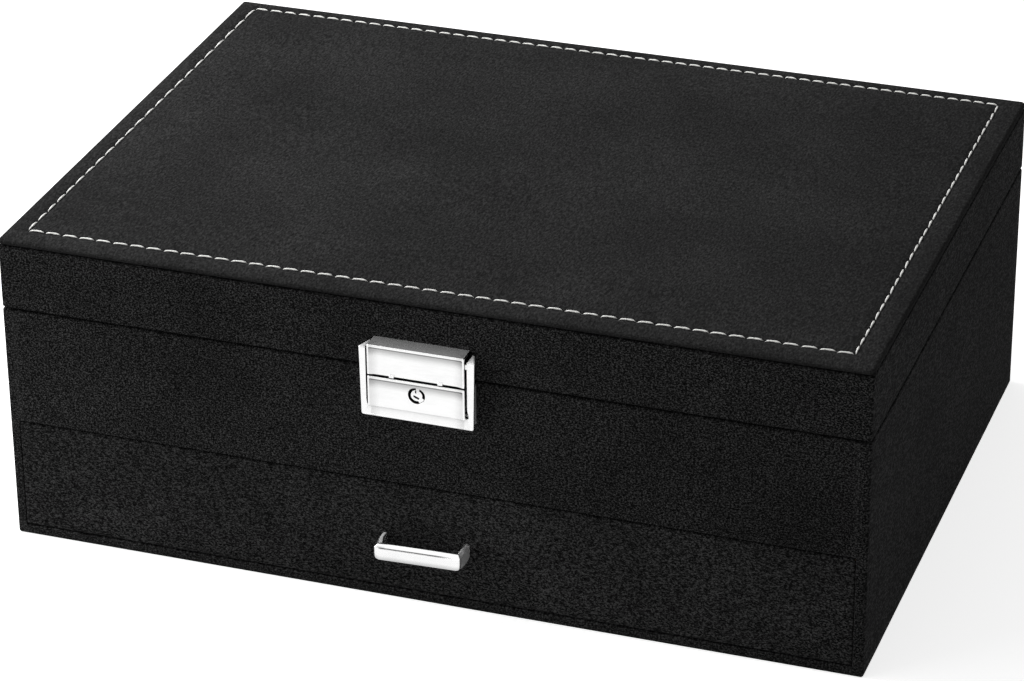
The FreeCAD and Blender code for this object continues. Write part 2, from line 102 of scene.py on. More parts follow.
def piece(name, body, finish, slot, *sheets, stands_for=(), wall=0.0, ripple=None, edge_wear_and_highlight=None,
          crease=None, fill=None):
    """One piece out of sheets. Doubles are merged and faces turned outwards, then ripple moves
    each point along its normal, edge_wear_and_highlight marks the edges that the velvet makes
    paler, as wear and as a painted highlight, and wall gives a skin thickness."""
    starts = np.cumsum([0] + [len(p) for p, f in sheets])
    points = np.concatenate([p for p, f in sheets]) * MM
    faces = np.concatenate([f + n for (p, f), n in zip(sheets, starts)])
    mesh = bpy.data.meshes.new(name)
    mesh.from_pydata(points.tolist(), [], faces.tolist())
    loose = bmesh.new()
    loose.from_mesh(mesh)
    bmesh.ops.remove_doubles(loose, verts=loose.verts, dist=2e-6)
    bmesh.ops.dissolve_degenerate(loose, dist=1e-7, edges=loose.edges)
    bmesh.ops.recalc_face_normals(loose, faces=loose.faces)
    loose.to_mesh(mesh)
    loose.free()
    count = len(mesh.vertices)
    co, normal = np.empty(count * 3), np.empty(count * 3)
    mesh.vertices.foreach_get("co", co)
    mesh.vertices.foreach_get("normal", normal)
    co = co.reshape(-1, 3) / MM
    if edge_wear_and_highlight is not None:
        wear_and_highlight = mesh.attributes.new("edge_wear_and_highlight", "FLOAT", "POINT")
        wear_and_highlight.data.foreach_set("value", near_edges(co, *edge_wear_and_highlight))
    if ripple is not None:
        amount, length, seed = ripple
        co += normal.reshape(-1, 3) * (amount * swell(co, length, seed))[:, None]
        mesh.vertices.foreach_set("co", (co * MM).reshape(-1))
    mesh.update()
    mesh.shade_smooth()
    if crease:
        mesh.set_sharp_from_angle(angle=np.radians(crease))
    mesh.materials.append(finish)
    obj = bpy.data.objects.new(name, mesh)
    scene.collection.objects.link(obj)
    if wall:
        skin = obj.modifiers.new("skin", "SOLIDIFY")
        skin.thickness, skin.offset = wall * MM, -1
    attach(obj, body)
    if stands_for:
        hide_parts(*stands_for)


def trace(start, *legs):
    """A profile in inset and height from start. Each leg (inset, height, steps, bend) runs on
    from the one before: straight where bend is left out, and a quarter of an ellipse that leaves
    along the height where bend is 1 and along the inset where it is 2."""
    line = [np.array([start], float)]
    for inset, height, steps, bend in [(*leg, 0)[:4] for leg in legs]:
        a, b = line[-1][-1], np.array([inset, height], float)
        t = np.linspace(0, 1, steps + 1)[1:]
        s, c = np.sin(t * np.pi / 2), 1 - np.cos(t * np.pi / 2)
        line.append(a + (b - a) * np.stack([(t, t), (c, s), (s, c)][bend], -1))
    return np.concatenate(line).T


def rings(half, low, high, r, xs, ys, turn=6):
    """Rounded rectangles, one for each entry of half, low, high and r: four straight sides with
    points at the fractions xs and ys of them and quarter circles between, anticlockwise."""
    half, low, high, r = np.broadcast_arrays(*np.atleast_1d(half, low, high, r))
    xs, ys = np.asarray(xs)[:, None], np.asarray(ys)[:, None]
    a = (np.arange(1, turn) * np.pi / 2 / turn)[:, None]
    hx, middle, hy = half - r, (low + high) / 2, (high - low) / 2 - r

    def corner(sx, sy, start):
        return sx * hx + r * np.cos(a + start), middle + sy * hy + r * np.sin(a + start)

    runs = [(xs * hx, low + 0 * xs), corner(1, -1, -np.pi / 2),
            (half + 0 * ys, middle + ys * hy), corner(1, 1, 0),
            (-xs * hx, high + 0 * xs), corner(-1, 1, np.pi / 2),
            (-half + 0 * ys, middle - ys * hy), corner(-1, -1, np.pi)]
    return np.stack([np.concatenate([run[k] for run in runs]) for k in (0, 1)], -1)


def stacked(half, low, high, r, inset, height, xs, ys, turn=6, least=0.0):
    """Rounded rectangles one inside another by inset, each at its height."""
    q = rings(half - inset, low + inset, high - inset, np.maximum(r - inset, least), xs, ys, turn)
    return joined(q[..., 0], q[..., 1], height)


def even(n):
    return np.linspace(-1, 1, n)


def cushioned(box, r, step):
    """A block with every edge rounded by r. box is (x0, x1, y0, y1, z0, z1), and step is the
    distance between points."""
    x0, x1, y0, y1, z0, z1 = box
    half = (x1 - x0) / 2
    deep = min(half, (y1 - y0) / 2)
    r = min(r, deep * 0.98)
    inset, height = trace((deep, z0), (r, z0, 1), (0, z0 + r, 4, 2),
                          (0, z1 - r, max(2, int((z1 - z0) / 12))), (r, z1, 5, 1),
                          (deep, z1, max(2, int((deep - r) / step))))
    xs, ys = even(max(4, int(2 * half / step))), even(max(4, int((y1 - y0) / step)))
    points = stacked(half, y0, y1, r, inset, height, xs, ys, 4)
    points[..., 0] += (x0 + x1) / 2
    return sheet(points, round_u=True)


def both(x0, x1, *rest, r):
    """A small block with rounded edges, and the same one mirrored to the left."""
    return [cushioned((*sorted((s * x0, s * x1)), *rest), r, 1.0) for s in (-1, 1)]


def upright(points):
    """Turns a grid made in x, z and depth into x, y, z."""
    return points[..., [0, 2, 1]]


def turned(x, z, radius, y, count):
    """A profile of radius against y turned round an axis along y through (x, z)."""
    a = np.linspace(0, 2 * np.pi, count, endpoint=False)[:, None]
    return joined(x + radius * np.cos(a), y, z + radius * np.sin(a))


def smooth(t):
    """0 below 0, 1 above 1 and 3t^2 - 2t^3 between."""
    t = np.clip(t, 0, 1)
    return t * t * (3 - 2 * t)


# ---- Materials ----
class Finish:
    """A material, or the world, and short ways to add and join its nodes."""

    def __init__(self, owner, coordinates="Object", **sockets):
        self.owner = bpy.data.materials.new(owner) if isinstance(owner, str) else owner
        self.owner.use_nodes = True
        self.tree = self.owner.node_tree
        self.shader = (self.tree.nodes.get("Principled BSDF")
                       or self.tree.nodes.get("Background"))
        self.place = self.node("TexCoord", coordinates)
        self.shade(**sockets)

    def feed(self, node, sockets):
        """Joins each socket to another one's output, or sets it to a number or colour."""
        for socket, value in sockets.items():
            if isinstance(value, bpy.types.NodeSocket):
                self.tree.links.new(value, node.inputs[socket])
            else:
                node.inputs[socket].default_value = value

    def shade(self, **sockets):
        """Feeds the shader's own sockets, with _ for a space in their names."""
        self.feed(self.shader, {name.replace("_", " "): v for name, v in sockets.items()})

    def node(self, kind, output, sockets=None, **settings):
        """Adds a node and gives one of its outputs."""
        made = self.tree.nodes.new("ShaderNode" + kind)
        for key, value in settings.items():
            setattr(made, key, value)
        self.feed(made, sockets or {})
        return made.outputs[output]

    def stretched(self, *scale):
        """Object coordinates drawn out by a different scale along each axis."""
        return self.node("Mapping", "Vector", {"Scale": scale, "Vector": self.place})

    def noise(self, scale, detail=2.0, roughness=0.55, vector=None, distortion=0.0):
        return self.node("TexNoise", "Fac", {
            "Scale": scale, "Detail": detail, "Roughness": roughness, "Distortion": distortion,
            "Vector": vector or self.place})

    def ramp(self, value, *stops):
        """Colours (position, grey or rgb) read by a value."""
        colours = self.node("ValToRGB", "Color", {"Fac": value})
        band = colours.node.color_ramp.elements
        while len(band) < len(stops):
            band.new(0.5)
        for element, (position, colour) in zip(band, stops):
            element.position = position
            rgb = (colour,) * 3 if isinstance(colour, (int, float)) else colour
            element.color = (*rgb, 1)
        return colours

    def mix(self, how, a, b, amount=1.0):
        return self.node("Mix", 2, {0: amount, 6: a, 7: b}, data_type="RGBA", blend_type=how)

    def math(self, how, first, *rest):
        """A sum, product or the like of values, taken two at a time."""
        for value in rest or (0.0,):
            first = self.node("Math", "Value", {0: first, 1: value}, operation=how)
        return first

    def product(self, *values):
        return self.math("MULTIPLY", *values)

    def most(self, *values):
        return self.math("MAXIMUM", *values)

    def along(self, axis):
        return self.node("SeparateXYZ", axis, {"Vector": self.place})

    def mapped(self, value, low, high, at_low, at_high, **settings):
        """Runs from at_low to at_high while value goes from low to high."""
        return self.node("MapRange", "Result", {
            "From Min": low, "From Max": high, "To Min": at_low, "To Max": at_high,
            "Value": value}, **settings)

    def ranged(self, value, low, high, at_low=0.0, at_high=1.0):
        """The same, smoothly and in millimetres. value may be an axis."""
        value = self.along(value) if isinstance(value, str) else value
        return self.mapped(value, low * MM, high * MM, at_low, at_high,
                           interpolation_type="SMOOTHSTEP")

    def within(self, axis, low, high, soft=0.1):
        """1 between low and high along an axis and 0 outside, in millimetres."""
        off = self.math("ABSOLUTE", self.math("SUBTRACT", self.along(axis),
                                              (low + high) / 2 * MM))
        half = (high - low) / 2
        return self.ranged(off, half - soft / 2, half + soft / 2, 1.0, 0.0)

    def relief(self, height, strength, depth):
        self.shade(Normal=self.node("Bump", "Normal", {
            "Strength": strength, "Distance": depth * MM, "Height": height}))


def velvet(name, dark, middle, light, spread=0.12, grain=2300, nap=(0.75, 0.33, 1),
           painted_pile_shade=None):
    """Short pile: sharp grains drawn out along the nap, brushed patches, and edges made paler
    both by rubbing wear and as a painted highlight. painted_pile_shade gives where painted shade
    darkens the pile."""
    f = Finish(name, Roughness=0.95, Specular_IOR_Level=0.02, Sheen_Weight=0.02,
               Sheen_Roughness=0.5, Sheen_Tint=(0.75, 0.75, 0.78, 1))
    tufts = f.noise(grain, 1.0, 0.5, f.stretched(*nap), 0.5)
    pile = f.noise(grain * 1.9, 1.0, 0.5)
    grains = f.mix("MIX", tufts, pile, 0.25)
    shade = f.ramp(grains, (0.5 - spread, dark), (0.5, middle), (0.5 + spread, light))
    patches = f.ramp(f.noise(26, 3.0, 0.55), (0.3, 0.8), (0.7, 1.2))
    shade = f.mix("MULTIPLY", shade, patches)
    # Painted shade, multiplied into the colour.
    if painted_pile_shade:
        shade = f.mix("MULTIPLY", shade, painted_pile_shade(f))
    # Paler edges: partly rubbing wear, partly a painted highlight where the edges catch the light.
    wear_and_highlight = f.product(f.node("Attribute", "Fac", attribute_name="edge_wear_and_highlight"), pile)
    f.shade(Base_Color=f.mix("ADD", shade, (0.012, 0.012, 0.012, 1), wear_and_highlight))
    f.relief(grains, 0.6, 0.35)
    return f.owner


def panel_painted_shade(f):
    """Painted shade along the panel's lower edge and down its right side, and a little painted
    falloff of light towards its right end.
    """
    low = f.ranged("Z", 103.3, 104.5, 0.4, 1.0)
    side = f.ranged("X", 139.0, 139.6, 1.0, 0.6)
    end = f.ranged("X", 50, 135, 1.0, 0.88)
    return f.product(low, side, end)


def frame_painted_shade(f):
    """Painted shade along the lid's upper and lower edges and the case's rim, at the groove and
    the seam, and a little painted falloff of light towards the right end."""
    over = f.ranged("Z", 102.0, 102.7, 1.0, 0.55)
    end = f.ranged("X", 40, 136, 1.0, 0.83)
    on_lid = f.ranged("Z", 80.9, 81.0)
    under = f.ranged("Z", 81.5, 82.2, 0.6, 1.0)
    rim = f.ranged("Z", 80.0, 80.5, 1.0, 0.65)
    return f.product(over, end, f.most(f.product(on_lid, under),
                                       f.math("SUBTRACT", rim, on_lid)))


def metal(name, grey, low, high, streak, depth=0.02, metallic=1.0, painted_metal_shade=None, matt=None):
    """Plated metal, low to high in roughness: fine brushing along streak and faint clouding.
    painted_metal_shade darkens it with painted shade, and matt gives where the plating is dull."""
    f = Finish(name, Metallic=metallic, Specular_IOR_Level=0.5)
    brushing = f.noise(900, 3.0, 0.6, f.stretched(*streak))
    cloud = f.noise(140, 3.0, 0.6)
    shade = f.mix("MULTIPLY", f.ramp(cloud, (0.3, grey * 0.96), (0.7, grey)),
                  f.ramp(brushing, (0.3, 0.95), (0.7, 1.0)))
    if painted_metal_shade:
        shade = f.mix("MULTIPLY", shade, painted_metal_shade(f))
    if matt:
        f.shade(Metallic=f.math("SUBTRACT", metallic, matt(f)))
    f.shade(Base_Color=shade,
            Roughness=f.mapped(f.mix("MIX", brushing, cloud, 0.4), 0.0, 1.0, low, high))
    f.relief(brushing, 0.25, depth)
    return f.owner


def lock_painted_shade(f):
    """Painted shade: dark in the ring round the key barrel, in the gaps beside the plates and in
    the seam between them. On each plate, a painted dark line under its top edge, painted shade
    that fades down the plate from there, and painted shade towards its sides."""
    from_axis = f.node("Mapping", "Vector", {"Location": (0, 0, -key_z * MM),
                                             "Scale": (1, 0, 1), "Vector": f.place})
    r = f.node("VectorMath", "Value", {0: from_axis}, operation="LENGTH")
    ring = f.most(f.ranged(r, 2.62, 2.65), f.within("Y", -105.14, -90, 0.04))
    ring = f.product(ring, f.ranged(r, 2.73, 2.75, 1.0, 0.0), f.within("Y", -106, -90))
    x = f.math("ABSOLUTE", f.along("X"))
    gaps = f.product(f.ranged(x, 15.4, 15.5), f.ranged(x, 16.35, 16.45, 1.0, 0.0),
                     f.within("Y", -105.0, -98, 0.1), f.within("Z", button_low, 95, 0.1))
    on_plate = f.product(f.ranged(x, 14.95, 15.15, 1.0, 0.0), f.within("Y", -110, -103))
    painted_plate_shade = f.ranged(x, 11.5, 15.1, 0.0, 0.12)
    for top in (hasp_high - 1, button_high - 1):
        under = f.product(f.ranged("Z", top - 3.6, top, 0.0, 0.3),
                          f.ranged("Z", top - 0.02, top + 0.1, 1.0, 0.0))
        line = f.within("Z", top - 0.28, top + 0.05, 0.16)
        painted_plate_shade = f.math("ADD", painted_plate_shade, f.math("ADD", under, f.product(line, 0.24)))
    seam = f.product(f.within("Z", 80.66, 81.24, 0.04), f.within("Y", -105.76, -98, 0.08),
                     f.ranged(x, 15.6, 15.7, 1.0, 0.0))
    return f.ramp(f.most(ring, gaps, seam, f.product(painted_plate_shade, on_plate)),
                  (0.0, 1.0), (0.3, 0.5), (0.6, 0.2), (1.0, 0.01))


def lock_matt(f):
    """The flat top of the hasp and the outer sides of the rails are a little dull, and the tops
    of the rails are matt."""
    x = f.math("ABSOLUTE", f.along("X"))
    sides = f.product(f.ranged(x, 17.0, 17.2), f.within("Y", -104.5, -90, 0.2), 0.4)
    tops = f.product(f.ranged(x, 15.9, 16.0), f.within("Z", 89.6, 90.2), 0.8)
    return f.math("ADD", f.most(sides, tops), f.ranged("Z", 91.15, 91.35, 0.0, 0.14))


def pull_painted_shade(f):
    """Painted shade: a dark line along the ridge of the drawer's pull, fading out before its right
    end.
    """
    z = f.math("SUBTRACT", f.along("Z"), f.product(f.along("X"), pull_askew))
    off = f.math("ABSOLUTE", f.math("SUBTRACT", z, 22.76 * MM))
    line = f.product(f.ranged(off, 0.12, 0.28, 1.0, 0.0), f.within("Y", -110, -108.3),
                     f.ranged("X", 7.0, 13.0, 1.0, 0.0), f.ranged("X", -12.8, -11.6))
    return f.ramp(line, (0.0, 1.0), (1.0, 0.2))


def pull_matt(f):
    """The top of the pull's left leg is matt, and so is the right one's where it joins the grip.
    Its outer sides are a little dull."""
    left = f.ranged("X", -12.0, -11.0, 0.8, 0.0)
    right = f.product(f.ranged("X", 12.0, 12.5), f.ranged("Y", -105.5, -103.0, 0.6, 0.0))
    tops = f.product(f.ranged("Z", 23.2, 23.5), f.ranged("Y", -107.6, -107.2),
                     f.math("ADD", left, right))
    sides = f.product(f.ranged(f.math("ABSOLUTE", f.along("X")), 13.7, 13.8),
                      f.ranged("Y", -108.4, -107.8, 0.0, 0.35))
    return f.most(tops, sides)


def fibreboard():
    """Pressed fibres: short pale and dark strands over a warm brown."""
    f = Finish("raw_fibreboard", Roughness=0.85, Specular_IOR_Level=0.25)
    strands = f.noise(420, 4.0, 0.7, f.stretched(1, 0.35, 2.2), 1.2)
    base = f.ramp(strands, (0.25, (0.17, 0.11, 0.065)), (0.5, (0.33, 0.225, 0.14)),
                  (0.75, (0.46, 0.34, 0.225)))
    cloud = f.ramp(f.noise(35, 2.0), (0.3, 0.88), (0.7, 1.06))
    f.shade(Base_Color=f.mix("MULTIPLY", base, cloud))
    f.relief(strands, 0.4, 0.15)
    return f.owner


def felt():
    """Pressed black felt: matted short fibres with lint."""
    f = Finish("base_felt", Roughness=0.97, Specular_IOR_Level=0.1, Sheen_Weight=0.15)
    hairs = f.noise(700, 4.0, 0.75, None, 2.5)
    lint = f.ramp(f.noise(1900, 2.0, 0.8), (0.68, 0.0), (0.8, 0.05))
    f.shade(Base_Color=f.mix("ADD", f.ramp(hairs, (0.3, 0.012), (0.7, 0.045)), lint, 0.6))
    f.relief(hairs, 0.6, 0.3)
    return f.owner


def cotton_thread():
    """Two-ply cotton: off-white, slightly greyed in the grooves between the fibres."""
    f = Finish("stitch_thread", Roughness=0.6, Specular_IOR_Level=0.3, Sheen_Weight=0.2)
    fibres = f.noise(5200, 3.0, 0.7, f.stretched(1, 1, 0.6))
    dirt = f.ramp(f.noise(160, 2.0), (0.3, 0.92), (0.6, 1.0))
    white = f.ramp(fibres, (0.25, (0.74, 0.73, 0.7)), (0.65, (0.97, 0.965, 0.94)))
    f.shade(Base_Color=f.mix("MULTIPLY", white, dirt))
    f.relief(fibres, 0.5, 0.06)
    return f.owner


case_cloth = velvet("outer_velvet", 0.001, 0.0085, 0.051, painted_pile_shade=frame_painted_shade)
drawer_cloth = velvet("drawer_velvet", 0.002, 0.0125, 0.05, nap=(0.66, 0.36, 1.1))
# The panel's velvet is paler than the case's: painted light for the light and sheen that the top
# catches.
top_cloth_painted_light = velvet("top_velvet", 0.007, 0.018, 0.0375, spread=0.18, painted_pile_shade=panel_painted_shade)
lining_cloth = velvet("lining_velvet", 0.004, 0.015, 0.036, grain=1300, nap=(1, 1, 1))
pull_askew = 0.026                                # how far the pull tilts, per unit of width
satin_nickel = metal("satin_nickel", 1.0, 0.13, 0.2, (0.12, 1, 1), 0.012, 0.9, lock_painted_shade,
                     lock_matt)
cast_nickel = metal("cast_nickel", 1.0, 0.14, 0.22, (0.2, 1, 1), 0.012, 0.9, pull_painted_shade,
                    pull_matt)
# The pan's metal is near black: painted shade for the shadow it lies in behind the frame.
dark_nickel = metal("dark_nickel", 0.12, 0.45, 0.6, (1, 1, 1))
hinge_plate = metal("hinge_steel", 0.62, 0.3, 0.46, (0.3, 1, 1.6), 0.03)
zinc_plate = metal("zinc_steel", 0.52, 0.34, 0.5, (1, 1, 0.5), 0.03)
board_raw = fibreboard()
felt_black = felt()
thread = cotton_thread()


# ---- Case ----
bay_left, bay_right, bay_low, bay_high = -136.9, 136.5, 3.2, 41.3          # drawer's opening
window_half, window_low, window_high = 11.5, 71.8, 79.2                    # lock's opening
bay_lip = 0.45


def bay_lip_at(x):
    """Radius of the velvet's turn round the edge of the opening, tighter at the left end."""
    return bay_lip - 0.25 * smooth((-x - 130) / 6)


def case_velvet():
    """The velvet of the case: a profile from the fold under its lower edge, up the outer face
    and over the rounded rim to the mouth, carried round a rounded rectangle and further in at
    the front. Near the drawer's opening the front falls back by R - sqrt(R^2 - (R - d)^2), and
    the border runs on inwards."""
    straight, rim, mouth, mouth_front = half_wide - 1.0, 0.5, 3.0, 7.6
    near = np.array([0.1, 0.25, 0.4, bay_lip])
    columns = np.unique(np.round(np.concatenate([
        np.linspace(-129, 129, 53), [-window_half, window_half], bay_right + np.append(0, near),
        bay_left - np.append(0, near), [134.5, -134.5, straight, -straight]]), 4))
    low_rows = [(0, bay_low - d, 1) for d in near[::-1]]
    high_rows = [(0, bay_high + d, 1) for d in near]
    inset, z = trace((0.7, 0.1), (0, 0.8, 5, 2), *low_rows, (0, bay_low, 1), (0, bay_high, 9),
                     *high_rows, (0, window_low, 7), (0, window_high, 2), (0, 80.25, 1),
                     (rim, case_top, 5, 1), (mouth, case_top, 3), (mouth, 80.3, 1))
    front = inset + np.maximum(inset - rim, 0) * (mouth_front - mouth) / (mouth - rim)
    q = rings(half_wide - inset, -half_deep + front, half_deep - inset,
              np.maximum(1.0 - inset, 0.3), columns / straight, even(41))
    points = joined(q[..., 0], q[..., 1], z)
    x, y, z = points[..., 0], points[..., 1], points[..., 2]
    away = np.hypot(np.maximum(np.maximum(bay_left - x, x - bay_right), 0),
                    np.maximum(np.maximum(bay_low - z, z - bay_high), 0))
    lip = bay_lip_at(x)
    d = np.clip(lip - away, 0, lip)
    on_face = y < 0.1 - half_deep
    points[..., 1] = y + np.where(on_face, lip - np.sqrt(lip ** 2 - d ** 2), 0)

    def keep(p):
        x, y, z = p.T
        bay = (x > bay_left) & (x < bay_right) & (z > bay_low) & (z < bay_high)
        window = (np.abs(x) < window_half) & (z > window_low) & (z < window_high)
        return ~((y < 2 - half_deep) & (bay | window))

    across = columns[(columns > bay_left - 0.01) & (columns < bay_right + 0.01)]
    upwards = np.linspace(bay_low, bay_high, 10)
    sides = ((across, bay_low), (bay_right, upwards), (across[::-1], bay_high),
             (bay_left, upwards[::-1]))
    border = np.concatenate([joined(*side)[:-1] for side in sides])
    x, z = border[:, :1], border[:, 1:]
    depth = np.array([0, 0.3, 1.0, 2.4, 6.0, 11.0])
    share = np.where(z > bay_high - 0.1, 2.4 / 11.0, 1.0)
    turned_in = joined(x, bay_lip_at(x) - half_deep + depth * share, z)
    boxes = [((-half_wide, -half_deep, 0), (half_wide, half_deep, case_top)),
             ((bay_left, -half_deep, bay_low), (bay_right, -60, bay_high))]
    piece("case_velvet", "case", case_cloth, "outer_velvet",
          sheet(points, round_u=True, keep=keep), sheet(turned_in, round_u=True),
          stands_for=["case_wrap"], wall=0.42, ripple=(0.025, 22, 3), edge_wear_and_highlight=(boxes, 0.2))


def tray_lining():
    """The upright lining of the tray, one profile carried round it: inner face, rounded top,
    lip above the case's rim, and the thicker part below."""
    out, z = trace((0, 44.4), (0, 83.1, 8), (0.7, 84.0, 5, 1), (1.4, 83.1, 5, 2),
                   (1.4, 80.95, 1), (2.3, 80.7, 1), (2.3, 44.4, 2))
    q = rings(134.6 + out, -90 - out, 94.6 + out, 1.0 + out, even(60), even(44), 5)
    points = joined(q[..., 0], q[..., 1], z)
    piece("tray_lining_velvet", "case", lining_cloth, "lining_velvet",
          sheet(points, True, True), ripple=(0.06, 26, 11),
          stands_for=["lining_left_wall", "lining_right_wall", "lining_front_wall",
                      "lining_back_wall"],
          edge_wear_and_highlight=([((-135.3, -90.7, 0), (135.3, 95.3, 84))], 0.6), fill=0.3)


def node_box(name):
    low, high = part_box(name)
    return [v / MM for pair in zip(low, high) for v in pair]


def covered(name, body, node, r, seed, trim=(0, 0, 0, 0, 0, 0), fill=0.3):
    """A velvet-covered card or pad in the place of a CAD block."""
    box = np.add(node_box(node), trim)
    piece(name, body, lining_cloth, "lining_velvet", cushioned(box, r, 5.0), stands_for=[node],
          ripple=(0.05, 18, seed), edge_wear_and_highlight=([box.reshape(3, 2).T], 0.6), fill=fill)


def cross_dividers(name, body, node, axis, count, seed):
    """Cards 2 mm thick, spaced evenly along an axis, in the place of a CAD group."""
    box = node_box(node)
    way = slice(2 * axis, 2 * axis + 2)
    low, high = box[way]
    for n in range(count):
        start = low + n * (high - low - 2) / (count - 1)
        box[way] = start, start + 2
        piece(f"{name}_{n + 1}", body, lining_cloth, "lining_velvet", cushioned(box, 0.9, 5.0),
              stands_for=[node], ripple=(0.05, 18, seed + n), fill=0.3)


def ring_roll(x0, x1, y0, y1, z0, shoulder, seed):
    """A stuffed roll along x: flat underside with rounded corners, upright sides and a half
    round top. At a distance of t times 4 from each end it is drawn in towards its middle to
    0.55 + 0.45 sqrt(1 - (1 - t)^2) of its size, and it is closed at t = 0."""
    half, middle = (y1 - y0) / 2, (y0 + y1) / 2
    a, corner, r = np.linspace(0, np.pi, 25), np.linspace(0, np.pi / 2, 5), 2.2
    side = np.linspace(shoulder, z0 + r, 5)[1:-1]
    loop = np.concatenate([
        joined(middle + half * np.cos(a), shoulder + half * np.sin(a)), joined(y0, side),
        joined(y0 + r - r * np.cos(corner), z0 + r - r * np.sin(corner)),
        joined(np.linspace(y0 + r, y1 - r, 5)[1:-1], z0),
        joined(y1 - r + r * np.sin(corner), z0 + r - r * np.cos(corner)),
        joined(y1, side[::-1])])
    centre = np.array([middle, (z0 + shoulder + half) / 2])
    reach = 4.0
    t = np.concatenate([[0, 0.03, 0.12, 0.28, 0.5, 0.75],
                        np.linspace(1, (x1 - x0) / reach - 1, int((x1 - x0) / 3.2)),
                        (x1 - x0) / reach - np.array([0.75, 0.5, 0.28, 0.12, 0.03, 0])])
    end = np.clip(np.minimum(t, (x1 - x0) / reach - t), 0, 1)
    size = np.sqrt(1 - (1 - end) ** 2)
    size = np.where(end > 0, 0.55 + 0.45 * size, 0)
    yz = centre + (loop[None] - centre) * size[:, None, None]
    points = joined((x0 + t * reach)[:, None], yz[..., 0], yz[..., 1])
    flat = points.reshape(-1, 3)
    lump = swell(flat, 38, seed) * 0.16 + swell(flat, 11, seed + 50) * 0.05
    rise = np.clip((flat[:, 2] - z0) / 6, 0, 1)
    flat[:, 2] += (lump - 0.2) * rise
    flat[:, 1] += lump * 0.4 * rise * np.sign(middle - flat[:, 1])
    return sheet(flat.reshape(points.shape), round_v=True)


def ring_rolls(name, body, node, count, shoulder, seed):
    """A row of rolls side by side in the place of a CAD group."""
    x0, x1, y0, y1, z0, _ = node_box(node)
    pitch = (y1 - y0 + 0.35) / count
    for n in range(count):
        start = y0 + n * pitch
        piece(f"{name}_{n + 1}", body, lining_cloth, "lining_velvet",
              ring_roll(x0 + 0.1, x1 - 0.1, start + 0.03, start + pitch - 0.38, z0 + 0.02,
                        shoulder, seed + n),
              stands_for=[node], fill=0.85)


# ---- Lid ----
def lid_velvet():
    """The velvet of the lid's frame: a profile from the mouth under the lower edge, round it, up
    the outer face and in over the top, carried round a rounded rectangle."""
    inset, z = trace((3, 81.7), (3, lid_foot, 1), (0.8, lid_foot, 3), (0, 82.05, 6, 2),
                     (0, 102.3, 7), (0.55, 102.85, 5, 1), (15, 102.85, 6))
    points = stacked(half_wide, -half_deep, half_deep, 1.0, inset, z, even(61), even(43),
                     least=0.3)
    edge_wear_and_highlight = [((-half_wide, -half_deep, lid_foot), (half_wide, half_deep, 102.9))]
    piece("lid_velvet", "lid", case_cloth, "outer_velvet", sheet(points, round_u=True),
          stands_for=["lid_wrap"], wall=0.42, ripple=(0.025, 20, 5), edge_wear_and_highlight=(edge_wear_and_highlight, 0.2))


seam_in = 7.0                                  # the row of stitches from the panel's edge
side_stitches = 47, 31, 54, 23                 # front, right, back and left
panel_rim = 105.2


def pulled(x, y):
    """The cover pulled a little unevenly: a point at distance d from a side moves by
    min(d / 7, (45 - d) / 38) of that side's pull, so each edge and the middle stay."""
    fade = 45.0

    def move(d, pull):
        return pull * np.clip(np.minimum(d / seam_in, (fade - d) / (fade - seam_in)), 0, 1)
    return (x + move(half_wide + x, -0.1) - move(half_wide - x, 1.0),
            y + move(half_deep + y, 1.4) - move(half_deep - y, -1.2))


def needle_holes():
    """Where the needle went through: round a rectangle, corners included. A stitch's length
    changes evenly along its side, by the share that uneven gives from one end to the other."""
    x, y = half_wide - seam_in, half_deep - seam_in
    corners = np.array([(-x, -y), (x, -y), (x, y), (-x, y)], float)
    holes = []
    for start, end, count, uneven in zip(corners, np.roll(corners, -1, 0), side_stitches,
                                         (0.0, 0.0, 0.16, -0.26)):
        t = np.arange(count)[:, None] / count
        holes.append(start + (end - start) * (t - uneven / 2 * t * (1 - t)))
    return np.concatenate(holes)


def panel_height(x, y):
    """Top of the padded panel: 105.2 at the rim, a low swelling between the rim and the
    stitches, a trough along them, a rise to the crown as 1 - exp(-distance / 15) and a slight
    unevenness of the foam."""
    dx, dy = half_wide - np.abs(x), half_deep - np.abs(y)
    m = np.minimum(dx, dy)
    inner = (np.maximum(dx, 0.1) ** -4.0 + np.maximum(dy, 0.1) ** -4.0) ** -0.25
    band = 0.16 * np.sin(np.pi * np.clip((m - 1.3) / 5.7, 0, 1))
    trough = -0.34 * np.exp(-((m - seam_in) / 1.2) ** 2)
    crown = 1 - np.exp(-np.maximum(inner - 6.0, 0) / 15)
    flat = joined(x, y, 0).reshape(-1, 3)
    uneven = (swell(flat, 90, 21) * 0.10 + swell(flat, 34, 22) * 0.04).reshape(np.shape(x))
    return panel_rim + band + trough + crown + uneven * smooth((m - seam_in) / 25) * 0.8


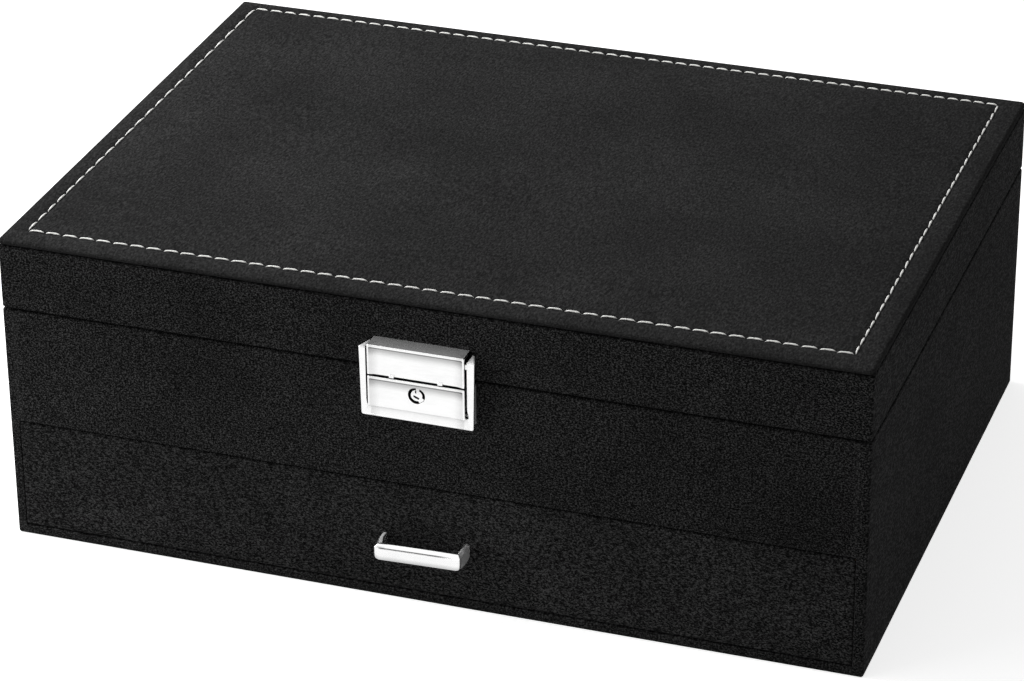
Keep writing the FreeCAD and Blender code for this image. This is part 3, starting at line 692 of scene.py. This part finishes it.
def lid_top_padding():
    """The padded panel: rings from the turned-in edge under it, round the side and inwards over
    the top at panel_height, with a dimple at each needle hole."""
    inset, z = trace((15, 102.88), (3.4, 102.88, 4), (2.9, 103.2, 2), (0.65, 103.2, 3),
                     (0, 103.8, 5, 2), (0, 104.0, 1), (1.3, panel_rim, 8, 1))
    over = np.array([1.8, 2.4, 3.1, 3.9, 4.7, 5.3, 5.8, 6.2, 6.5, 6.75, 7.0, 7.25, 7.5, 7.8,
                     8.2, 8.7, 9.4, 10.3, 11.5, 13, 15, 17.5, 20.5, 24, 28, 33, 39, 46, 54, 62,
                     71, 80, 89, 95, 100])
    inset, z = np.append(inset, over), np.append(z, 0 * over)
    points = stacked(half_wide, -half_deep, half_deep, 1.5, inset, z, even(281), even(201))
    top = points[:, -len(over):]
    height = panel_height(top[..., 0], top[..., 1])
    near_seam = slice(4, 20)
    gap = np.linalg.norm(top[:, near_seam, None, :2] - needle_holes(), axis=-1).min(-1)
    height[:, near_seam] -= 0.26 * np.exp(-(gap / 0.7) ** 2)
    top[..., 2] = height
    top[..., 0], top[..., 1] = pulled(top[..., 0].copy(), top[..., 1].copy())
    edge_wear_and_highlight = [((-half_wide, -half_deep, 103.2), (half_wide, half_deep, panel_rim))]
    piece("lid_top_padding", "lid", top_cloth_painted_light, "outer_velvet", sheet(points, round_u=True),
          stands_for=["lid_top_cover", "lid_top_foam"], edge_wear_and_highlight=(edge_wear_and_highlight, 0.4), wall=0.4, fill=0.35)


def top_stitching():
    """A row of stitches: each a two-ply thread from one needle hole to the next, arched as
    sin(pi t) over the trough and sunk at both ends, with a section of two lobes that turns
    along it."""
    rng = np.random.default_rng(8)
    holes = needle_holes()
    ahead = np.roll(holes, -1, 0) - holes
    count, along, around = len(holes), 8, 7
    length = np.linalg.norm(ahead, axis=1)[:, None]
    way = ahead / length
    across = joined(-way[:, 1], way[:, 0])
    lean = np.repeat((0.05, 0.02, -0.05, -0.03), side_stitches)[:, None]
    slant = lean + rng.normal(0, 0.018, (count, 1))
    start = holes + way * (0.14 + rng.normal(0, 0.05, (count, 1)))
    reach = length - 0.34 + rng.normal(0, 0.06, (count, 1))
    t = np.linspace(0, 1, along)
    line = (start[:, None] + (way * reach)[:, None] * t[:, None]
            + (across * reach * slant)[:, None] * (t[:, None] - 0.5))
    arch = 0.34 * np.sin(np.pi * t) ** 0.7 - 0.2 * np.exp(-(np.minimum(t, 1 - t) / 0.05) ** 2)
    z = panel_height(line[..., 0], line[..., 1]) + 0.05
    z = z + arch * rng.uniform(0.85, 1.1, (count, 1))
    line = joined(*pulled(line[..., 0], line[..., 1]))
    a = np.linspace(0, 2 * np.pi, around, endpoint=False)
    spin = a[None, :] - 5.5 * t[:, None]
    radius = 0.33 * (1 + 0.16 * np.cos(2 * spin)) * np.where(
        (t > 0) & (t < 1), np.sin(np.pi * (0.05 + 0.9 * t)) ** 0.5, 0)[:, None]
    side, up = radius * np.cos(a), radius * np.sin(a) * 0.85
    grid = np.empty((count, along, around, 3))
    grid[..., :2] = line[:, :, None] + across[:, None, None] * side[None, ..., None]
    grid[..., 2] = z[..., None] + up
    piece("top_stitching", "lid", thread, "outer_velvet",
          *[sheet(one, round_v=True) for one in grid])


def lid_lining():
    """The padded lining under the lid: rings down the walls, round a cove and in over the pad,
    which bulges towards its middle."""
    inset, z = trace((97, 99.7), (0.02, 99.7, 2), (0.02, 81.95, 3), (0.28, 81.72, 3, 1),
                     (0.54, 81.95, 3, 2), (0.54, 96.8, 6), (2.0, 98.35, 6, 1))
    over = np.array([3, 4.5, 7, 10, 14, 19, 25, 33, 43, 55, 68, 82, 97])
    bulge = 98.35 - 0.55 * (1 - np.exp(-(over - 2) / 12))
    points = stacked(137, -97, 97, 0.8, np.append(inset, over), np.append(z, bulge), even(61),
                     even(43))
    piece("lid_lining_pad", "lid", lining_cloth, "lining_velvet",
          sheet(points, round_u=True), stands_for=["lid_lining"], ripple=(0.05, 30, 9),
          edge_wear_and_highlight=([((-137, -97, 81.75), (137, 97, 99))], 0.6), fill=0.3)


# ---- Drawer ----
def drawer_velvet():
    """The velvet of the drawer's front: a thin slab with rounded edges, made of rounded
    rectangles one inside another from its back round the edge and over its face. It stands
    0.225 to the left, and its left end is drawn out to fill the opening."""
    back, edge, face, middle = -96.85, -99.1, -99.8, 18.7
    inset, y = trace((middle, back), (0.3, back, 2), (0, back - 0.3, 2, 2), (0, edge, 2),
                     (0.7, face, 6, 1), (1.5, face, 1), (middle, face, 7))
    points = upright(stacked(136.525, 3.65, 40.65, 0.8, inset, y, even(81), even(15)))
    points[..., 0] = np.interp(points[..., 0] - 0.225, (-136.75, -136.05, -134, 137),
                               (-136.8, -136.55, -134, 137))
    piece("drawer_velvet", "drawer", drawer_cloth, "outer_velvet", sheet(points, round_u=True),
          stands_for=["drawer_front_cover"], ripple=(0.03, 24, 14),
          edge_wear_and_highlight=([((-136.6, face, 3.5), (136.6, -96.8, 40.9))], 0.2))


# ---- Lock and handle ----
def plate_face(x, z, low, high, depth=1.0):
    """How far a lock plate's face lies behind its raised edge: a small step inside the top and
    sides, a fine groove at the foot of the top edge, and a scoop down the plate of
    1.05 (1 - exp(-v / 0.22)) - 0.62 v^2 that fades at the sides."""
    side, under = plate_half - np.abs(x), high - z
    v = np.clip((under - 0.85) / (high - 0.85 - low), 0, 1)
    scoop = depth * (1.05 * (1 - np.exp(-v / 0.22)) - 0.62 * v ** 2)
    step = smooth((np.minimum(side + 0.25, under - 0.1) - 0.62) / 0.16)
    groove = 0.3 * np.exp(-((under - 1.02) / 0.16) ** 2) * smooth((side - 0.45) / 0.3)
    return (0.1 + groove + scoop * smooth((side - 0.4) / 2.2)) * step


def lock_plate(low, high, back, xs, depth=1.0):
    """The outer wall and the raised front edge of a lock plate, ending 1.3 inside it."""
    inset, y = trace((0, back), (0, plate_y + 0.28, 2), (0.28, plate_y, 5, 1),
                     (0.62, plate_y, 6), (0.9, plate_y, 6), (1.3, plate_y, 4))
    points = upright(stacked(plate_half, low, high, 0.4, inset, y, xs, even(13), 4, least=0.05))
    points[..., 1] += np.where(y < plate_y + 0.3, plate_face(points[..., 0], points[..., 2],
                                                             low, high, depth), 0)
    return points


def between(a, b, t):
    """Grid of straight lines from the points a to the points b, at the fractions t."""
    return a[:, None] + (b - a)[:, None] * np.asarray(t)[None, :, None]


plate_straight = 15.2                          # half of a plate's width, short of its corners
near_rim = np.array([13.4, 13.9, 14.4, 14.7, 14.9, 15.0, 15.05, 15.1, 15.15, 15.2])


def hasp():
    """The lid's plate, closed over its face, with the two hooks that hang below it."""
    xs = np.unique(np.concatenate([np.linspace(-13, 13, 27), near_rim, -near_rim]))
    front = lock_plate(hasp_low, hasp_high, -100.02, xs / plate_straight)
    rim = front[:, -1]
    middle = rim.copy()
    middle[:, 2] = 86.5
    middle[:, 0] = np.clip(rim[:, 0], -10.5, 10.5)
    face = between(rim, middle, np.linspace(0, 1, 15))
    face[..., 1] = plate_y + plate_face(face[..., 0], face[..., 2], hasp_low, hasp_high)
    back = between(front[:, 0], np.array([[0, -100.02, 86.7]]), [0, 1])
    hooks = both(6.5, 9.1, -103.3, -102.1, 75.0, 82.5, r=0.25)
    roots = both(6.95, 8.65, -105.95, -102.2, 80.96, 82.0, r=0.25)
    noses = both(6.5, 9.1, -102.3, -101.5, 75.0, 76.5, r=0.2)
    piece("hasp_plate", "lid", satin_nickel, "bright_metal",
          *[sheet(part, round_u=True) for part in (front, face, back)], *hooks, *roots, *noses,
          stands_for=["hasp"], crease=38)


def lock_button():
    """The pressed plate with a round hole for the key barrel, its two ears, sleeve and nubs."""
    back, scoop, hole = -104.8, 0.8, 3.2
    a = np.radians(np.arange(0, 73, 6))
    xs = np.concatenate([4.6 * np.tan(a), near_rim[1:]])
    xs = np.unique(np.round(np.concatenate([xs, -xs]), 4))
    front = lock_plate(button_low, button_high, back, xs / plate_straight, scoop)
    rim = front[:, -1]
    turn = np.arctan2(rim[:, 2] - key_z, rim[:, 0])

    def circle(r, y):
        return joined(r * np.cos(turn), y, key_z + r * np.sin(turn))

    face = between(rim, circle(hole, 0), np.linspace(0, 1, 13) ** 0.85)
    face[..., 1] = plate_y + plate_face(face[..., 0], face[..., 2], button_low, button_high,
                                        scoop)
    lip = face[:, -1, 1]
    collar = np.stack([circle(r, lip + dy) for r, dy in (
        (hole, 0), (3.05, -0.05), (2.85, -0.05), (2.75, 0.0), (2.69, 0.1), (2.69, 0.3),
        (2.7, 0.4))] + [circle(2.7, back)], 1)
    hidden = between(circle(2.7, back), front[:, 0], [0, 1])
    ears = both(14.6, 15.6, -104.85, -102.4, 70.5, 74.0, r=0.2)
    sleeve = turned(0, key_z, np.array([2.7, 3.35, 3.35, 3.25, 2.8, 2.7]),
                    np.array([back, back, -102.7, -102.6, -102.6, -102.7]), 32)
    nubs = [turned(s * 4.9, 77.6, np.array([0, 0.8, 0.8, 0.6, 0]),
                   np.array([-104.7, -104.7, -101.35, -101.15, -101.15]), 16) for s in (-1, 1)]
    piece("lock_button_plate", "button", satin_nickel, "bright_metal",
          *[sheet(part, round_u=True) for part in (front, face, collar, hidden)], *ears,
          sheet(sleeve, True, True), *[sheet(nub, round_u=True) for nub in nubs],
          stands_for=["lock_button"], crease=38)


def key_barrel():
    """The key barrel turned round its axis: a shaft, and a narrower neck that two lugs bridge to
    the button's hole. Its face has a key slot and a pin hole, each sunk by a product of smooth
    steps."""
    r, y = trace((0, -95.7), (2.3, -95.7, 1), (2.3, -102.6, 2), (2.5, -102.6, 1),
                 (2.5, -103.4, 1), (1.87, -103.4, 1), (1.87, -105.14, 4), (1.77, -105.24, 3, 1))
    neck, on_face = len(r), 25
    r, y = np.append(r, np.linspace(1.72, 0, on_face)), np.append(y, np.full(on_face, -105.24))
    a = np.linspace(0, 360, 120, endpoint=False)[:, None]
    lug = np.maximum(smooth((16 - np.abs(a - 80)) / 3), smooth((27 - np.abs(a - 314)) / 3))
    wide = np.where((np.arange(len(r)) >= neck - 7) & (r > 1.76), 0.75, 0)
    points = turned(0, key_z, r + lug * wide, y, 120)
    face = points[:, -on_face:]
    x, z = face[..., 0], face[..., 2] - key_z
    slot = (smooth((0.14 - np.abs(x + 0.25)) / 0.1 + 0.5) * smooth((z - 0.75) / 0.12)
            * smooth((1.75 - z) / 0.12))
    pin = np.exp(-((x + 0.1) / 0.72) ** 4 - ((z + 0.65 + 0.4 * (x + 0.1)) / 0.27) ** 4)
    face[..., 1] += 0.9 * slot + 1.6 * pin
    piece("key_barrel_face", "key_cylinder", satin_nickel, "bright_metal",
          sheet(points, round_u=True), stands_for=["key_barrel"], crease=50)


def u_line(half, top, low, r, rail, bar):
    """A U: down the left at x = -half, round a corner of radius r, across at low, and up. Its
    sides have rail points each, and its bar has bar points."""
    a = np.linspace(0, np.pi / 2, 6)[1:-1]
    down, across = np.linspace(top, low + r, rail), np.linspace(-half + r, half - r, bar)
    left = np.concatenate([joined(-half, down),
                           joined(-half + r - r * np.cos(a), low + r - r * np.sin(a))])
    return np.concatenate([left, joined(across, low), left[::-1] * [-1, 1]])


def u_section(outer, inner, from_outer, from_inner):
    """Points across a U, from its outer to its inner line. Each is given by its distance from
    one of them and its third coordinate, as numbers or as arrays along the line."""
    across = inner - outer
    width = np.linalg.norm(across, axis=1)
    way = (across / width[:, None]).T
    steps = from_outer + [(width - d, third) for d, third in from_inner]
    return np.stack([joined(*(outer.T + way * d), third) for d, third in steps], 1)


def lock_surround():
    """The U-shaped frame: a bevelled section carried down one rail, along the lower bar and up
    the other rail, with eased tops, its sides drawn in towards its back. Between the rails is
    the pan, with its window."""
    low, shoulder, top = 66.6, 89.4, 90.0
    outer = u_line(18.15, shoulder, low, 0.7, rail=14, bar=30)
    inner = u_line(16.1, shoulder, low + 3.5, 0.35, rail=14, bar=30)
    x, z = outer[:, 0], outer[:, 1]
    x += np.sign(x) * 0.5 * smooth((np.abs(x) - 16) / 1.5) * (z - low) / (top - low)
    inner[:, 0] += np.where(inner[:, 0] < -15.7, -0.2, 0)
    on_bar = smooth((70.5 - outer[:, 1]) / 3.0)
    lip = 0.62 + 0.1 * on_bar
    front, back = -105.2, -99.95
    from_outer = [(0, back), (0, front + 0.55), (0.07, front + 0.28), (0.22, front + 0.09),
                  (0.42, front), (lip - 0.05, front), (lip, front),
                  (lip + 0.12, front + 0.03 + 0.12 * on_bar),
                  (lip + 0.2, front + 0.03 + 0.13 * on_bar)]
    from_inner = [(0.4, front + 0.03 + 0.72 * on_bar), (0.28, front + 0.04 + 0.74 * on_bar),
                  (0.08, front + 0.12 + 0.76 * on_bar), (0, front + 0.3 + 0.76 * on_bar),
                  (0, back)]
    body = upright(u_section(outer, inner, from_outer, from_inner))
    caps = []
    for row in body[[0, -1]]:
        small, large = row.min(0), row.max(0)
        rows = [row]
        for shrink, z in ((0.05, 89.72), (0.16, 89.9), (0.4, top)):
            step = np.clip(row, small + [shrink, shrink, 0], large - [shrink, shrink, 0])
            step[:, 2] = z
            rows.append(step)
        rows.append(np.broadcast_to([*(small + large)[:2] / 2, top], row.shape))
        caps.append(np.stack(rows))
    for points in [body] + caps:
        x, y = points[..., 0], points[..., 1]
        draw = 2.4 * smooth((y - front - 0.2) / 8) * smooth((np.abs(x) - 16.9) / 1.0)
        points[..., 0] -= np.sign(x) * draw
    knob = cushioned((15.7, 16.3, -105.4, -104.2, 87.5, 89.2), 0.25, 1.0)
    xs, ys = even(21), even(15)
    outside = rings(17.5, 66.9, 80.4, 0.3, xs, ys, 3)[:, 0]
    window = rings(window_half, 72.4, window_high, 0.3, xs, ys, 3)[:, 0]
    wall, face = -99.97, -100.8
    pan = np.stack([joined(q[:, 0], y, q[:, 1]) for q, y in (
        (outside, wall), (outside, face), (window, face), (window, wall))], 1)
    # The pan gets near-black metal as painted shade, not a darker plating.
    piece("lock_pan", "case", dark_nickel, "bright_metal", sheet(pan, True, True),
          stands_for=["lock_frame"], crease=38)
    piece("lock_surround", "case", satin_nickel, "bright_metal",
          *[sheet(part, round_v=True) for part in (body, *caps)], knob,
          stands_for=["lock_frame"], crease=38)


def handle_pull():
    """The drawer's pull: a flat strip bent to a U, its top outer edge bevelled above a fine
    ridge. The lower corners of the grip are quarter circles, the left leg thickens towards the
    grip, and the legs round off where they meet the drawer."""
    half, root = 14.1, -98.9
    outer = u_line(half, root, -108.9, 0.5, rail=14, bar=33)
    inner = u_line(half - 1.2, root, -107.4, 0.3, rail=14, bar=33)
    inner[:, 0] += 0.8 * smooth((-103.5 - inner[:, 1]) / 3) * smooth((-inner[:, 0] - 9) / 3)
    on_grip = smooth((-103.0 - outer[:, 1]) / 5.4)
    low, high = 18.6, 23.9
    bevel = 0.35 + 0.8 * on_grip
    foot = high - bevel
    from_outer = [(0.3, low), (0.09, low + 0.08), (0, low + 0.28), (0, low + 1.6),
                  (0, foot - 0.3), (0, foot - 0.14), (0.1 * on_grip, foot - 0.08),
                  (0.1 * on_grip, foot), (0.1, foot + 0.05), (bevel - 0.06, high - 0.09),
                  (bevel + 0.05, high)]
    from_inner = [(0.14, high), (0.04, high - 0.05), (0, high - 0.16), (0, low + 0.2),
                  (0.06, low + 0.06), (0.2, low)]
    points = u_section(outer, inner, from_outer, from_inner)
    x, y, z = points[..., 0], points[..., 1], points[..., 2]
    r = np.where(x < 0, 1.8, 1.4)
    rise = r - np.sqrt(r ** 2 - np.clip(np.abs(x) - (half - r), 0, r) ** 2)
    back = 1.3
    d = np.clip(y + 99.8 + back, 0, back)
    pinch = back - np.sqrt(back ** 2 - d ** 2)
    base = low + rise * smooth((-107.0 - y) / 1.5) - 0.5 * smooth((y + 107) / 5) + pinch
    top = high - pinch
    points[..., 2] = base + (z - low) * (top - base) / (high - low) + x * pull_askew
    points[..., 0] += 0.25
    ends = [np.stack([points[e], np.broadcast_to(points[e].mean(0), points[e].shape)])
            for e in (0, -1)]
    stems, bent = [both(x, 13.8, y, -95.4, 19.4, 21.9, r=0.15)
                   for x, y in ((13.0, -99.6), (8.8, -96.2))]
    piece("handle_pull", "drawer", cast_nickel, "bright_metal",
          *[sheet(part, round_v=True) for part in (points, *ends)],
          stems[0], bent[0], stems[1], bent[1], stands_for=["handle"], crease=38)


case_velvet()
tray_lining()
covered("tray_floor_velvet", "case", "lining_floor", 0.45, 31, fill=0.2,
        trim=(0.1, -0.1, 0.1, -0.1, 0, 0))
covered("tray_divider_velvet", "case", "tray_divider", 0.9, 32)
cross_dividers("tray_cross_divider", "case", "tray_cross_dividers", 1, 2, 41)
ring_rolls("tray_ring_roll", "case", "tray_ring_rolls", 8, 57.5, 60)

lid_velvet()
lid_top_padding()
top_stitching()
lid_lining()

drawer_velvet()
for number, side in enumerate(("left", "right", "back")):
    covered(f"drawer_{side}_velvet", "drawer", f"drawer_{side}_board", 0.8, 71 + number)
covered("drawer_floor_velvet", "drawer", "drawer_lining_floor", 0.45, 75, fill=0.2)
covered("drawer_divider_velvet", "drawer", "drawer_long_divider", 0.9, 76)
cross_dividers("drawer_cross_divider", "drawer", "drawer_cross_dividers", 0, 3, 81)
ring_rolls("drawer_ring_roll", "drawer", "drawer_ring_rolls", 4, 17.0, 90)

lock_surround()
hasp()
lock_button()
key_barrel()
handle_pull()

# ---- Finishes of the CAD nodes that stay ----
finishes = {"outer_velvet": case_cloth, "lining_velvet": lining_cloth, "base_felt": felt_black,
            "foam": felt_black, "fibreboard": board_raw, "bright_metal": satin_nickel,
            "hinge_steel": hinge_plate, "steel": zinc_plate}
for part in frame["record"]["subparts"]:
    for holder in nodes[part["node"]].material_slots:
        holder.material = finishes[part["material_slot"]]

# ---- Floor, lamps and camera ----
floor_mesh = bpy.data.meshes.new("floor")
floor_mesh.from_pydata([(-4, -4, 0), (4, -4, 0), (4, 4, 0), (-4, 4, 0)], [], [(0, 1, 2, 3)])
floor = bpy.data.objects.new("floor", floor_mesh)
scene.collection.objects.link(floor)


def mirrored(f):
    """1 for what metal and glass show, and 0 elsewhere."""
    return f.most(*[f.node("LightPath", f"Is {kind} Ray") for kind in ("Glossy", "Transmission")])


paint = Finish("pale_floor", Roughness=0.9, Specular_IOR_Level=0.0, Emission_Color=(1, 1, 1, 1))
across = paint.node("VectorMath", "Value", {0: paint.stretched(0.8, 1, 0)}, operation="LENGTH")
seen = paint.node("LightPath", "Is Camera Ray")
in_metal = mirrored(paint)                                     # there it dims near the box
# In metal and glass the floor's glow drops to 0.25 near the box: a painted shadow of the box.
paint.shade(Base_Color=paint.product(paint.math("SUBTRACT", 1.0, in_metal), 0.8),
            Emission_Strength=paint.most(
                paint.product(in_metal, paint.mapped(across, 0.105, 0.143, 0.25, 1.08)),
                paint.product(seen, 0.7)))
floor_mesh.materials.append(paint.owner)

scene.world = bpy.data.worlds.new("studio")
sky = Finish(scene.world, "Generated", Color=(1, 1, 1, 1))     # in metal paler overhead
sky.shade(Strength=sky.most(
    sky.product(mirrored(sky), sky.mapped(sky.along("Z"), 0.05, 0.4, 0.5, 1.08)),
    sky.node("LightPath", "Is Camera Ray"), 0.34))


def hung(name, data, aim, way, offset, roll=0.0):
    """Adds a lamp or the camera. It looks against way, turned about it by roll, and stands off
    from aim by offset along its own right, up and back, in metres."""
    back = way / np.linalg.norm(way)
    right = np.cross((0, 0, 1), back)
    right /= np.linalg.norm(right)
    up = np.cross(back, right)
    axes = np.array([np.cos(roll) * right + np.sin(roll) * up,
                     np.cos(roll) * up - np.sin(roll) * right, back])
    obj = bpy.data.objects.new(name, data)
    scene.collection.objects.link(obj)
    rows = [[*row, place] for row, place in zip(axes.T, aim + offset @ axes)]
    obj.matrix_world = Matrix(rows + [[0, 0, 0, 1]])
    return obj


for name, place, aim, power in (("key", (-0.46, 0.0, 0.54), (0, 0, 0.06), 4.7),
                                ("front_fill", (-0.6, -0.55, 0.3), (0, 0, 0.05), 1.9)):
    light = bpy.data.lights.new(name, "AREA")
    light.shape, light.size, light.energy = "SQUARE", 0.5, power
    way = np.subtract(place, aim)
    hung(name, light, aim, way, np.array([0, 0, np.linalg.norm(way)]))

azimuth, elevation, roll = np.radians([19.2943, 27.576, -0.5201])
way = np.array([np.sin(azimuth) * np.cos(elevation), -np.cos(azimuth) * np.cos(elevation),
                np.sin(elevation)])
eye = bpy.data.cameras.new("camera")
eye.sensor_fit, eye.sensor_width, eye.lens = "HORIZONTAL", 36.0, 141.297
eye.clip_start, eye.clip_end = 0.05, 50
camera = hung("camera", eye, np.array([0, -0.01, 0.06]), way,
              np.array([-2.3828, -11.008, 1300.62]) * MM, roll)
scene.camera = camera
scene.view_settings.view_transform = "Standard"

bpy.context.view_layer.update()
